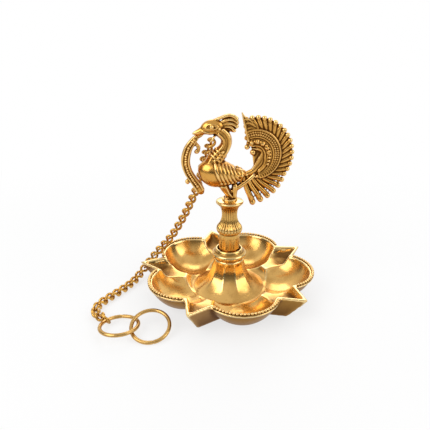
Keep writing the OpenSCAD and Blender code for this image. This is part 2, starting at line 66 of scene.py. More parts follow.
class Flow:  # one output socket of a node tree; maths on it adds nodes
    def __init__(self, tree, socket=None):
        self.tree, self.socket = tree, socket

    def node(self, kind, settings=None, inputs=None, out=0):
        made = self.tree.nodes.new(kind)
        for key, value in (settings or {}).items():
            setattr(made, key, value)
        for key, value in (inputs or {}).items():
            if isinstance(value, Flow):
                self.tree.links.new(value.socket, made.inputs[key])
            else:
                made.inputs[key].default_value = value
        return Flow(self.tree, made.outputs[out] if made.outputs else None)

    def other(self, out):  # another output of the same node
        return Flow(self.tree, self.socket.node.outputs[out])

    def maths(self, operation, first, second=0.0):
        return self.node("ShaderNodeMath", {"operation": operation}, {0: first, 1: second})

    def __add__(self, other):
        return self.maths("ADD", self, other)

    def __sub__(self, other):
        return self.maths("SUBTRACT", self, other)

    def __rsub__(self, other):
        return self.maths("SUBTRACT", other, self)

    def __mul__(self, other):
        return self.maths("MULTIPLY", self, other)

    __radd__, __rmul__ = __add__, __mul__

    def ease(self, low, high):  # 0 below low, 1 above high, soft between
        return self.node("ShaderNodeMapRange", {"interpolation_type": "SMOOTHSTEP"},
                         {"Value": self, "From Min": low, "From Max": high})

    def mix(self, first, second):  # colours, by this mask
        return self.node("ShaderNodeMix", {"data_type": "RGBA"}, {0: self, 6: first, 7: second}, 2)


def emptyTree(owner):
    owner.use_nodes = True
    owner.node_tree.nodes.clear()
    return Flow(owner.node_tree)


def brassFinish(name, look):
    material = bpy.data.materials.new(name)
    start = emptyTree(material)
    place = start.node("ShaderNodeTexCoord", out="Object")

    def noise(size, detail, stretch=(1, 1, 1)):  # size in millimetres
        scale = [1 / (size * mm) * share for share in stretch]
        at = start.node("ShaderNodeMapping", None, {"Vector": place, "Scale": scale})
        return start.node("ShaderNodeTexNoise", None, {"Vector": at, "Scale": 1.0, "Detail": detail}, "Fac")

    relief = start.node("ShaderNodeAttribute", {"attribute_name": "relief"}, out="Fac")
    outer = start.node("ShaderNodeAttribute", {"attribute_name": "outer"}, out="Fac")
    patches = noise(look["patchSize"], detail=3.0).ease(look["patchFrom"], look["patchTo"])
    spots = noise(look["spotSize"], detail=4.0).ease(look["spotFrom"], look["spotTo"])
    grain = noise(look["grainSize"], detail=2.0)
    lines = noise(look["lineSize"], detail=1.0, stretch=look["lineStretch"])
    # The dark mix is patina in the hollows, and on the bowl also painted shade; the pale mix is rubbed high
    # points, and on the rim beads also a painted highlight.
    dirtAndShade = relief.ease(look["dirtAndShadeFrom"], look["dirtAndShadeTo"])
    wornAndHighlight = (0 - relief).ease(look["wornAndHighlightFrom"], look["wornAndHighlightTo"])

    colour = (patches * look["patchShare"]).mix(look["bright"], look["tarnish"])
    colour = (spots * look["spotShare"]).mix(colour, look["spot"])
    colour = (outer * look["outerShare"]).mix(colour, look["outerSatinAndShadeColour"])
    colour = (dirtAndShade * look["dirtAndShadeShare"]).mix(colour, look["dirtAndShade"])
    colour = (wornAndHighlight * look["wornAndHighlightShare"]).mix(colour, look["wornAndHighlight"])
    rough = look["rough"] + patches * look["patchRough"] + spots * look["spotRough"]
    rough = rough + (lines - 0.5) * look["lineRough"] + outer * look["outerRough"]
    rough = rough + dirtAndShade * look["dirtAndShadeRough"] - wornAndHighlight * look["wornAndHighlightPolish"]
    height = grain * look["grainDepth"] + lines * look["lineDepth"] + spots * look["pitDepth"]
    bump = start.node("ShaderNodeBump", None, {"Height": height, "Strength": 1.0, "Distance": mm})
    shader = start.node("ShaderNodeBsdfPrincipled", None, {
        "Base Color": colour, "Roughness": rough, "Metallic": 1.0, "Normal": bump})
    start.node("ShaderNodeOutputMaterial", None, {"Surface": shader})
    return material


# Brass: sizes and depths in millimetres, and each finish says where it differs from the plain one
plainLook = {
    "bright": (0.80, 0.50, 0.16, 1), "tarnish": (0.58, 0.32, 0.08, 1), "rough": 0.17,
    "patchSize": 16, "patchFrom": 0.42, "patchTo": 0.68, "patchShare": 0.6, "patchRough": 0.07,
    "spot": (0.42, 0.22, 0.06, 1), "spotSize": 2.4, "spotFrom": 0.56, "spotTo": 0.74, "spotShare": 0.25,
    "spotRough": 0.06, "pitDepth": -0.02,
    "outerSatinAndShadeColour": (0.46, 0.27, 0.09, 1), "outerShare": 0.0, "outerRough": 0.0,
    "dirtAndShade": (0.11, 0.037, 0.005, 1), "dirtAndShadeFrom": 0.03, "dirtAndShadeTo": 0.35, "dirtAndShadeShare": 0.85, "dirtAndShadeRough": 0.28,
    "wornAndHighlight": (0.98, 0.78, 0.40, 1), "wornAndHighlightFrom": 0.05, "wornAndHighlightTo": 0.4, "wornAndHighlightShare": 0.6, "wornAndHighlightPolish": 0.05,
    "lineSize": 1.2, "lineStretch": (1, 1, 1), "lineRough": 0.10, "lineDepth": 0.02,
    "grainSize": 0.35, "grainDepth": 0.015,
}
bowlBrass = brassFinish("bowlBrass", plainLook | {  # bright wells, and a satin brown outside darkened by painted shade
    "bright": (0.84, 0.50, 0.155, 1), "tarnish": (0.52, 0.28, 0.07, 1), "patchSize": 20, "patchShare": 0.75,
    "outerShare": 0.94, "outerSatinAndShadeColour": (0.29, 0.135, 0.016, 1), "outerRough": 0.16, "dirtAndShadeTo": 0.6})
turnedBrass = brassFinish("turnedBrass", plainLook | {  # fine lines round the axis
    "bright": (0.72, 0.43, 0.12, 1), "tarnish": (0.52, 0.28, 0.06, 1), "rough": 0.2, "dirtAndShadeTo": 0.22,
    "lineSize": 0.5, "lineStretch": (0.05, 0.05, 1), "lineRough": 0.14, "lineDepth": 0.03})
castBrass = brassFinish("castBrass", plainLook | {  # dark hollows and rubbed edges
    "bright": (0.70, 0.36, 0.08, 1), "tarnish": (0.50, 0.23, 0.038, 1), "rough": 0.2, "patchSize": 7,
    "grainSize": 0.5, "grainDepth": 0.035,
    "dirtAndShade": (0.09, 0.027, 0.003, 1), "dirtAndShadeFrom": -0.02, "dirtAndShadeTo": 0.13, "dirtAndShadeShare": 0.96,
    "wornAndHighlight": (0.96, 0.68, 0.28, 1), "wornAndHighlightFrom": 0.05, "wornAndHighlightTo": 0.2, "wornAndHighlightShare": 0.8})
chainBrass = brassFinish("chainBrass", plainLook | {
    "bright": (0.68, 0.38, 0.085, 1), "tarnish": (0.46, 0.23, 0.045, 1), "rough": 0.22, "patchSize": 5,
    "spotSize": 1.2, "lineSize": 0.3, "dirtAndShadeTo": 0.15})
ringBrass = brassFinish("ringBrass", plainLook | {
    "bright": (0.66, 0.40, 0.13, 1), "tarnish": (0.44, 0.25, 0.075, 1), "rough": 0.26, "patchSize": 6})
print("finishes:", len(bpy.data.materials))


def cadCopy(node):  # a CAD node's mesh in millimetres, with its corners merged
    bm = bmesh.new()
    bm.from_mesh(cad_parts[node].data)
    bmesh.ops.scale(bm, vec=(1 / mm, 1 / mm, 1 / mm), verts=bm.verts)
    bmesh.ops.remove_doubles(bm, verts=bm.verts, dist=0.0005)
    return bm


def evaluated(data, name, modifiers=()):  # mesh of a curve or mesh after its modifiers
    helper = bpy.data.objects.new(name, data)
    scene.collection.objects.link(helper)
    for kind, settings in modifiers:
        modifier = helper.modifiers.new(kind, kind)
        for key, value in settings.items():
            setattr(modifier, key, value)
    graph = bpy.context.evaluated_depsgraph_get()
    made = bpy.data.meshes.new_from_object(helper.evaluated_get(graph))
    bpy.data.objects.remove(helper)
    return made


def looseCorners(bm):  # corners of every part but the largest, such as a pocket sealed inside a casting
    parts, left = [], set(bm.verts)
    while left:
        front = [left.pop()]
        part = list(front)
        while front:
            near = {e.other_vert(v) for v in front for e in v.link_edges} & left
            left -= near
            front = list(near)
            part += front
        parts.append(part)
    parts.sort(key=len)
    return [v for part in parts[:-1] for v in part]


def cast(bm, voxel, rounds):  # everything in bm run together as one casting
    mesh = bpy.data.meshes.new("castShape")
    bm.to_mesh(mesh)
    bm.clear()
    bm.from_mesh(evaluated(mesh, "castShape", [("REMESH", {"mode": "VOXEL", "voxel_size": voxel})]))
    bmesh.ops.delete(bm, geom=looseCorners(bm), context="VERTS")
    for turn in range(rounds):
        bmesh.ops.smooth_vert(bm, verts=bm.verts, factor=0.5, use_axis_x=True, use_axis_y=True, use_axis_z=True)
    return bm


def rods(bm, paths, resolution=5, roundness=2, closed=False):  # each path is a list of x, y, z, radius
    curve = bpy.data.curves.new("rods", "CURVE")
    curve.dimensions, curve.bevel_depth, curve.bevel_resolution = "3D", 1.0, roundness
    curve.use_fill_caps, curve.resolution_u = True, resolution
    for path in paths:
        spline = curve.splines.new("BEZIER")
        spline.bezier_points.add(len(path) - 1)
        spline.use_cyclic_u = closed
        for point, (x, y, z, radius) in zip(spline.bezier_points, path):
            point.co, point.radius = (x, y, z), radius
            point.handle_left_type = point.handle_right_type = "AUTO"
    bm.from_mesh(evaluated(curve, "rods"))


def balls(bm, places):  # each place is x, y, z, radius
    for x, y, z, radius in places:
        at = Matrix.Translation((x, y, z))
        bmesh.ops.create_icosphere(bm, subdivisions=2, radius=radius, matrix=at)


def eased(rows, steps):  # a smooth run through given rows of numbers
    rows = np.array(rows, float)
    last = len(rows) - 1
    made = []
    for k in range(last):
        a, b, c, d = rows[max(k - 1, 0)], rows[k], rows[k + 1], rows[min(k + 2, last)]
        slope, bend, twist = c - a, 2 * a - 5 * b + 4 * c - d, 3 * b - a - 3 * c + d
        for t in np.arange(steps) / steps:
            made.append(0.5 * (2 * b + slope * t + bend * t * t + twist * t ** 3))
    return np.array(made + [rows[last]])


def sweep(bm, rows, around=40, steps=6):  # rows of x, height, half height and half width in the bird's plane
    path = eased(rows, steps)
    along = np.gradient(path[:, :2], axis=0)
    loops = []
    for (x, z, halfZ, halfY), (ax, az) in zip(path, along):
        tilt = Matrix.Rotation(math.atan2(ax, az), 4, "Y")
        at = Matrix.Translation((x, 0, perch + z)) @ tilt @ Matrix.Diagonal((halfZ, halfY, 1, 1))
        atEnd = len(loops) in (0, len(path) - 1)
        made = bmesh.ops.create_circle(bm, segments=around, radius=1, matrix=at, cap_ends=atEnd)
        ring = set(made["verts"])
        loops.append([e for e in {e for v in ring for e in v.link_edges} if ring.issuperset(e.verts)])
    for low, high in zip(loops, loops[1:]):
        bmesh.ops.bridge_loops(bm, edges=low + high)


def rowAt(rows, x):  # a swept form's centre height, half height and half width at x
    xs = [row[0] for row in rows]
    return [float(np.interp(x, xs, [row[k] for row in rows])) for k in (1, 2, 3)]


def alongside(rows, lean, share, radius):  # a rod on a swept form's flank, off its middle line
    path = []
    for k, (x, z, halfZ, halfY) in enumerate(rows):
        before, after = rows[max(k - 1, 0)], rows[min(k + 1, len(rows) - 1)]
        along = Vector((after[0] - before[0], after[1] - before[1])).normalized()
        out = halfZ * lean
        path.append((x + along.y * out, halfY * share, z - along.x * out, radius))
    return path


def flanks(path):  # the same rod on both flanks of the bird
    return [[(x, side * y, perch + z, r) for x, y, z, r in path] for side in (1, -1)]


def twins(places):  # the same balls on both flanks
    return [ball for flank in flanks(places) for ball in flank]


def midline(rows):  # rows of x, height and radius, set in the bird's plane
    return [(x, 0, perch + z, r) for x, z, r in rows]


# Patina: dirt stays where a cloth can't reach, told by short rays that meet brass
cloth = {"reach": 3.0, "lift": 0.12, "cones": [(0.45, 3), (1.05, 5)], "from": 0.2}


def patina(bm, most):
    bm.normal_update()
    tree = BVHTree.FromBMesh(bm)
    tilts = [(math.cos(a) * math.sin(b), math.sin(a) * math.sin(b), math.cos(b))
             for b, count in cloth["cones"] for a in [math.tau * k / count for k in range(count)]]
    shut = []
    for v in bm.verts:
        side = v.normal.orthogonal().normalized()
        other = v.normal.cross(side)
        start = v.co + v.normal * cloth["lift"]
        ways = [side * x + other * y + v.normal * z for x, y, z in tilts]
        hits = sum(tree.ray_cast(start, way, cloth["reach"])[0] is not None for way in ways)
        shut.append(hits / len(tilts))
    return most * np.clip(np.array(shut) - cloth["from"], 0, 1)


def reliefOf(mesh, rounds):  # how far each corner lies under (+) or over (-) the softened surface, in mm
    count = len(mesh.vertices)
    at, ends, normals = np.empty(count * 3), np.empty(len(mesh.edges) * 2, int), np.empty(count * 3)
    mesh.vertices.foreach_get("co", at)
    mesh.edges.foreach_get("vertices", ends)
    mesh.vertex_normals.foreach_get("vector", normals)
    at, normals = at.reshape(-1, 3) / mm, normals.reshape(-1, 3)
    first, second = ends.reshape(-1, 2).T
    degree = np.maximum(np.bincount(ends, minlength=count), 1)
    held, moved = 0.3, 0.7  # shares of a corner's own place and of its neighbours' middle
    soft = at.copy()
    for turn in range(rounds):
        total = [np.bincount(first, soft[second, k], count) + np.bincount(second, soft[first, k], count)
                 for k in range(3)]
        soft = held * soft + moved * np.stack(total, 1) / degree[:, None]
    return ((soft - at) * normals).sum(1)


def finishPiece(name, bm, material, body, nodes, reliefRounds=0, extra=None):
    bmesh.ops.scale(bm, vec=(mm, mm, mm), verts=bm.verts)
    mesh = bpy.data.meshes.new(name)
    bm.to_mesh(mesh)
    bm.free()
    mesh.polygons.foreach_set("use_smooth", [True] * len(mesh.polygons))
    values = {"relief": reliefOf(mesh, reliefRounds) if reliefRounds else np.zeros(len(mesh.vertices))}
    for key, numbers in (extra or {}).items():
        values[key] = values.get(key, 0) + numbers
    for key, numbers in values.items():
        mesh.attributes.new(key, "FLOAT", "POINT").data.foreach_set("value", numbers.astype(np.float32))
    mesh.materials.append(material)
    piece = bpy.data.objects.new(name, mesh)
    scene.collection.objects.link(piece)
    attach(piece, body)
    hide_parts(*nodes)
    print(name, len(mesh.vertices), "corners")


# Bowl: lobes and spouts cast in one, with ten soft facets ground on the bell cone
bowl = {
    "voxel": 0.86, "rounds": 5, "reliefRounds": 16, "lobes": 5, "spoutTurn": 29, "lobeReach": 41, "rimH": 22,
    "facets": 10, "facetShare": 1.15, "facetFrom": 7, "facetTo": 30.6, "facetRise": 9, "facetFade": 3,
    "coneR": 27, "socketR": 11,
    "troughEnd": 72.1, "troughHalf": 9.0, "troughTaper": 0.625, "troughLeast": 0.5, "troughDrop": 0.4,
    "troughDepths": [(34, 0), (42, 1.0), (52, 2.4), (62, 2.6), (69, 1.2), (72, 0)], "troughShade": 0.13,
    "landR": 28.15, "landHalf": 1.5, "landSpan": 60, "landDrop": 0.7, "landSink": 0.35, "landShade": 0.85,
    "facingUp": 0.4, "lift": 0.25, "outerLowShade": 0.5,
}


def lobeCentre(k):
    a = math.radians(bowl["spoutTurn"] + (k + 0.5) * 360 / bowl["lobes"])
    return Vector((bowl["lobeReach"] * math.cos(a), bowl["lobeReach"] * math.sin(a)))


def onLand(at):  # 1 on the strip of the rim that carries the beads
    if at.z < bowl["rimH"] - bowl["landDrop"]:
        return 0.0
    for k in range(bowl["lobes"]):
        middle = lobeCentre(k)
        out = at.xy - middle
        turn = abs(math.degrees(out.angle_signed(middle)))
        if abs(out.length - bowl["landR"]) < bowl["landHalf"] and turn < bowl["landSpan"]:
            return 1.0
    return 0.0


def troughSink(at):  # how much deeper a spout's rounded floor is than a flat one
    step = math.tau / bowl["lobes"]
    turn = (math.atan2(at.y, at.x) - math.radians(bowl["spoutTurn"]) + step / 2) % step - step / 2
    x, y = at.xy.length * math.cos(turn), abs(at.xy.length * math.sin(turn))
    half = min(bowl["troughHalf"], (bowl["troughEnd"] - x) * bowl["troughTaper"])
    if half <= bowl["troughLeast"] or y >= half or at.z > bowl["rimH"] - bowl["troughDrop"]:
        return 0.0
    return float(np.interp(x, *zip(*bowl["troughDepths"]))) * (1 - (y / half) ** 2)


def makeBowl():
    bm = cast(cadCopy("bowl"), bowl["voxel"], bowl["rounds"])
    half = math.pi / bowl["facets"]
    for v in bm.verts:  # facets of the cone, fading out at its foot and top
        r = v.co.xy.length
        if r > bowl["coneR"] or v.co.z < bowl["facetFrom"] or r < bowl["socketR"]:
            continue
        share = min(1, (v.co.z - bowl["facetFrom"]) / bowl["facetRise"])
        share *= min(1, max(0, (bowl["facetTo"] - v.co.z) / bowl["facetFade"]))
        turn = (math.atan2(v.co.y, v.co.x) + math.pi) % (2 * half) - half
        v.co.xy *= 1 - bowl["facetShare"] * share * (1 - math.cos(half) / math.cos(turn))
    sinks = [troughSink(v.co) if v.normal.z > bowl["facingUp"] else 0.0 for v in bm.verts]
    for v, sink in zip(bm.verts, sinks):
        v.co.z -= sink
    bm.normal_update()
    tree = BVHTree.FromBMesh(bm)
    outer, dirtAndShade = [], []
    for v, sink in zip(bm.verts, sinks):  # a place with brass straight above it is on the satin outside, which is darkened by painted shade
        hidden = tree.ray_cast(v.co + v.normal * bowl["lift"], (0, 0, 1))[0] is not None
        land = onLand(v.co)
        low = max(0, 1 - v.co.z / bowl["rimH"])
        outer.append(1.0 if hidden else 0.0)
        # painted shade on the bead land, in the deeper trough floors, and on the outside, darker towards the
        # bottom
        dirtAndShade.append(bowl["landShade"] * land + bowl["troughShade"] * sink + bowl["outerLowShade"] * hidden * low)
        v.co.z -= bowl["landSink"] * land
    finishPiece("bowl_cast", bm, bowlBrass, "lamp", ["bowl"], bowl["reliefRounds"],
                {"outer": np.array(outer), "relief": np.array(dirtAndShade)})


makeBowl()
print("bowl done")


# Rim beads: a row of half-round beads on the land of each lobe, with painted shade at the foot and a rubbed top
# that also carries a painted highlight
rimBeads = {
    "perLobe": 23, "span": 115.9, "ringR": 28.15, "radius": 1.25, "sides": 12, "rings": 8,
    "footShade": 0.6, "footH": 0.45, "topRubAndHighlight": 0.3,
}


def makeRimBeads():
    bm = bmesh.new()
    for k in range(bowl["lobes"]):
        middle = lobeCentre(k)
        lean = math.atan2(middle.y, middle.x)
        for b in range(rimBeads["perLobe"]):
            a = lean + math.radians(rimBeads["span"] * (b / (rimBeads["perLobe"] - 1) - 0.5))
            x, y = middle.x + rimBeads["ringR"] * math.cos(a), middle.y + rimBeads["ringR"] * math.sin(a)
            bmesh.ops.create_uvsphere(bm, u_segments=rimBeads["sides"], v_segments=rimBeads["rings"],
                                      radius=rimBeads["radius"], matrix=Matrix.Translation((x, y, bowl["rimH"])))
    rise = np.array([v.co.z for v in bm.verts]) - bowl["rimH"]
    # painted shade at each bead's foot, and on its top a painted highlight over the rubbing
    foot = rimBeads["footShade"] * np.clip(1 - rise / rimBeads["footH"], 0, 1)
    top = rimBeads["topRubAndHighlight"] * np.clip((rise - rimBeads["footH"]) / rimBeads["footH"], 0, 1)
    finishPiece("rim_beads", bm, bowlBrass, "lamp", ["rim_beading"], 0, {"relief": foot - top})


makeRimBeads()
print("rim beads done")


# Collar and stem: turned on one axis, and the stem is then fluted
collar = {"steps": 96, "reliefRounds": 4, "profile": [
    (9.6, 31.5), (12.0, 31.5), (12.35, 31.75), (12.5, 32.3), (13.2, 32.6), (13.75, 33.3), (14.0, 34.2),
    (14.0, 35.2), (13.75, 36.0), (13.1, 36.6), (12.2, 36.95), (11.6, 37.4), (11.3, 38.2), (11.0, 39.1),
    (10.6, 39.65), (10.0, 39.9), (9.75, 39.5), (9.6, 38.6), (9.6, 33.0)]}
stem = {
    "steps": 200, "reliefRounds": 8, "tallEdge": 0.5, "flutes": 25, "bulgeFlute": 0.75, "waistFlute": 0.5,
    "bulgeFrom": 55.2, "bulgeTo": 61.8, "waistTo": 76.2, "lowFade": 1.0, "highFade": 1.5,
    "profile": [
        (0, 17.6), (4.6, 17.6), (5.0, 18.0), (5.0, 31.5), (8.2, 31.55), (8.4, 31.8), (8.4, 37), (8.4, 42),
        (8.4, 47), (8.4, 52.6), (8.3, 53.4), (8.5, 53.8), (9.3, 54.1), (9.8, 54.6), (10.2, 55.4), (10.5, 56.6),
        (10.45, 57.8), (10.1, 58.9), (9.5, 59.9), (8.7, 60.8), (8.0, 61.9), (7.3, 63.2), (6.7, 65), (6.3, 67),
        (6.1, 69), (6.2, 71), (6.5, 73), (7.1, 74.8), (7.9, 76.2), (8.9, 77.3), (9.9, 78.2), (10.7, 79),
        (10.98, 79.7), (10.9, 80.3), (10.4, 80.8), (9.4, 81.1), (8.2, 81.3), (7.4, 81.55), (0, 81.55)],
}


def turned(profile, steps):  # a profile of radius and height, spun about the lamp's axis
    bm = bmesh.new()
    row = [bm.verts.new((r, 0, z)) for r, z in profile]
    edges = [bm.edges.new(pair) for pair in zip(row, row[1:])]
    if profile[0][0] > 0:
        edges.append(bm.edges.new((row[-1], row[0])))
    bmesh.ops.spin(bm, geom=row + edges, cent=(0, 0, 0), axis=(0, 0, 1), angle=math.tau, steps=steps,
                   use_merge=True)
    bmesh.ops.remove_doubles(bm, verts=bm.verts, dist=0.001)
    bmesh.ops.recalc_face_normals(bm, faces=bm.faces)
    return bm


def makeStem():
    bm = turned(stem["profile"], stem["steps"])
    tall = [e for e in bm.edges if abs(e.verts[0].co.z - e.verts[1].co.z) > stem["tallEdge"]]
    bmesh.ops.subdivide_edges(bm, edges=tall, cuts=1)
    for v in bm.verts:  # flutes, deeper on the bulge than up the waist
        if not stem["bulgeFrom"] < v.co.z < stem["waistTo"]:
            continue
        depth = stem["bulgeFlute"] if v.co.z < stem["bulgeTo"] else stem["waistFlute"]
        low, high = v.co.z - stem["bulgeFrom"], stem["waistTo"] - v.co.z
        ends = min(1, low / stem["lowFade"], high / stem["highFade"])
        cut = abs(math.sin(stem["flutes"] / 2 * math.atan2(v.co.y, v.co.x)))
        v.co.xy *= 1 - depth * ends * (1 - cut) / math.hypot(v.co.x, v.co.y)
    finishPiece("stem_turned", bm, turnedBrass, "lamp", ["stem"], stem["reliefRounds"])


def makeCollar():
    bm = turned(collar["profile"], collar["steps"])
    finishPiece("collar_turned", bm, turnedBrass, "lamp", ["stem_collar"], collar["reliefRounds"])


makeStem()
makeCollar()
print("stem and collar done")


# Bird: smooth forms swept over the CAD casting, with feathers, strands and lids laid on, all cast in one
bird = {
    "voxel": 0.36, "rounds": 3, "reliefRounds": 14, "patina": 0.4,
    "torso": [(-24.4, 21.8, 0.6, 0.6), (-22.6, 22.2, 6.2, 5.4), (-17.5, 22.4, 9.9, 8.8), (-11.5, 21.8, 11.2, 10),
              (-5, 20.8, 10.2, 9.6), (0.5, 20.2, 8.2, 8.2), (5, 20, 6.1, 6.4), (9.2, 21.2, 3.9, 4.2),
              (12.2, 22, 1.5, 1.8)],
    "neck": [(-11, 33, 6.6, 6.2), (-7.6, 37.2, 5.2, 5), (-4.4, 41.4, 4.4, 4.3), (-3, 46, 4.2, 4.1),
             (-4.2, 50, 4.3, 4.1), (-8, 53.6, 4.4, 4.1)],
    "head": [(-28.4, 51.2, 0.4, 0.4), (-27, 52, 1.3, 1.2), (-24.5, 52.6, 2.1, 2), (-21.2, 53.8, 3, 2.8),
             (-18, 55.4, 4.9, 4.1), (-13.5, 56.6, 5.6, 4.6), (-8.5, 57, 4.4, 3.8), (-5.6, 56.8, 2.2, 2)],
    "coverts": 8, "covertX": -10.6, "covertStep": 2.75, "covertAt": (0, 0.2, 0.4, 0.6, 0.8, 1),
    "covertSweep": 5.2, "covertBend": 1.6, "covertLag": 0.25, "covertLast": 11.4, "covertTop": 24,
    "covertTurn": 98, "covertBed": 0.99, "covertR": 0.75, "covertSwell": 0.9, "covertFull": 0.8, "covertBall": 1.2,
    "bands": [(-7.3, 37.6, 5.1), (-8.9, 35.6, 5.6), (-10.5, 33.5, 6.2)],
    "bandLean": (0.78, -0.63), "bandFlat": 0.95, "bandWire": 0.85, "bandPoints": 13,
    "strands": [(0.52, 1.55), (-0.42, 1.45)], "strandOut": 0.72,
    "lids": [[(-18.6, 56.4), (-16.8, 58.4), (-14.2, 59.1), (-11.4, 58.2), (-9.4, 57.0)],
             [(-18.6, 56.4), (-16.4, 55.6), (-13.6, 55.3), (-11.2, 55.9), (-9.4, 57.0)],
             [(-21.4, 54.0), (-18, 53.1), (-14, 52.6), (-10.4, 53.2)]],
    "lidBed": 0.98, "lidLeast": 0.1, "lidR": 0.66,
    "crest": [[(-12, 61.4), (-7, 63.4), (-2.4, 64.9), (1.4, 64.6), (4.2, 62.8)],
              [(-8, 59.6), (-3.4, 61.6), (0.6, 62), (4.6, 60.2)],
              [(-7.4, 58), (-3, 59.2), (0.6, 59), (4.4, 57.2)],
              [(-7, 56.4), (-3.2, 57), (-0.2, 56.6), (2.6, 54.2)]],
    "crestOut": 0.9, "crestSpread": 0.25, "crestR": 1.15, "crestBallOut": 1.5, "crestBall": 1.5,
    "strap": [(18.5, 20.4, 1.5), (13.4, 15.8, 1.8), (8, 11.6, 2.0), (3.2, 8.4, 2.0), (0.4, 6.6, 1.6)],
    "strapOut": 1.5,
    "thigh": [(-4.5, 11.5, 2.3), (-1.7, 7.6, 2.1), (0.8, 3.6, 1.9)],
    "toes": [[(1.4, 2.2, 2.3, 1.1), (-3.6, 1.4, 2.0, 0.8)], [(1.4, 2.2, 2.3, 1.1), (-2.8, 4.0, 2.0, 0.8)],
             [(3.6, 2.0, 2.4, 1.1), (5.4, 2.6, 2.0, 0.8)]],
    "eyes": [(-14.1, 4.2, 57.2, 1.6), (-8.2, 3.8, 55.6, 1.0)],
}


def covert(k):  # one raised feather, from the back down the flank
    path = []
    for t in bird["covertAt"]:
        swept = bird["covertSweep"] * (t ** bird["covertBend"] - bird["covertLag"])
        x = bird["covertX"] + bird["covertStep"] * k + swept
        z, halfZ, halfY = rowAt(bird["torso"], min(x, bird["covertLast"]))
        a = math.radians(bird["covertTop"] + bird["covertTurn"] * t)
        y, z = halfY * bird["covertBed"] * math.sin(a), z + halfZ * bird["covertBed"] * math.cos(a)
        swell = math.sin(math.pi * t ** bird["covertFull"])
        path.append((x, y, z, bird["covertR"] + bird["covertSwell"] * swell))
    return path


def neckBand(x, z, radius):  # a ring round the foot of the neck, square to it
    leanX, leanZ = bird["bandLean"]
    ring = []
    for a in np.linspace(0, math.tau, bird["bandPoints"]):
        across, y = radius * math.cos(a), radius * bird["bandFlat"] * math.sin(a)
        ring.append((x + across * leanX, y, perch + z + across * leanZ, bird["bandWire"]))
    return ring


def lidPath(lid):  # a lid or cheek line on the surface of the head
    path = []
    for x, z in lid:
        middle, halfZ, halfY = rowAt(bird["head"], x)
        out = math.sqrt(max(bird["lidLeast"], 1 - ((z - middle) / halfZ) ** 2))
        path.append((x, halfY * out * bird["lidBed"], z, bird["lidR"]))
    return path


def makeBird():
    laid, dots = [], []
    for k in range(bird["coverts"]):
        path = covert(k)
        laid += flanks(path)
        dots += twins([(*path[-1][:3], bird["covertBall"])])
    laid += [neckBand(*band) for band in bird["bands"]]
    for lean, radius in bird["strands"]:
        laid += flanks(alongside(bird["neck"], lean, bird["strandOut"], radius))
    for lid in bird["lids"]:
        laid += flanks(lidPath(lid))
    for feather in bird["crest"]:
        laid += flanks([(x, bird["crestOut"] + bird["crestSpread"] * n, z, bird["crestR"])
                        for n, (x, z) in enumerate(feather)])
        x, z = feather[-1]
        dots += twins([(x, bird["crestBallOut"], z, bird["crestBall"])])
    laid += flanks([(x, bird["strapOut"], z, r) for x, z, r in bird["strap"]])
    laid.append(midline(bird["thigh"]))
    for toe in bird["toes"]:
        laid += flanks(toe)
    dots += twins(bird["eyes"])
    bm = cadCopy("bird_body")
    for rows in ("torso", "neck", "head"):
        sweep(bm, bird[rows])
    rods(bm, laid)
    balls(bm, dots)
    cast(bm, bird["voxel"], bird["rounds"])
    finishPiece("bird_cast", bm, castBrass, "lamp", ["bird_body"], bird["reliefRounds"],
                {"relief": patina(bm, bird["patina"])})


makeBird()
print("bird done")


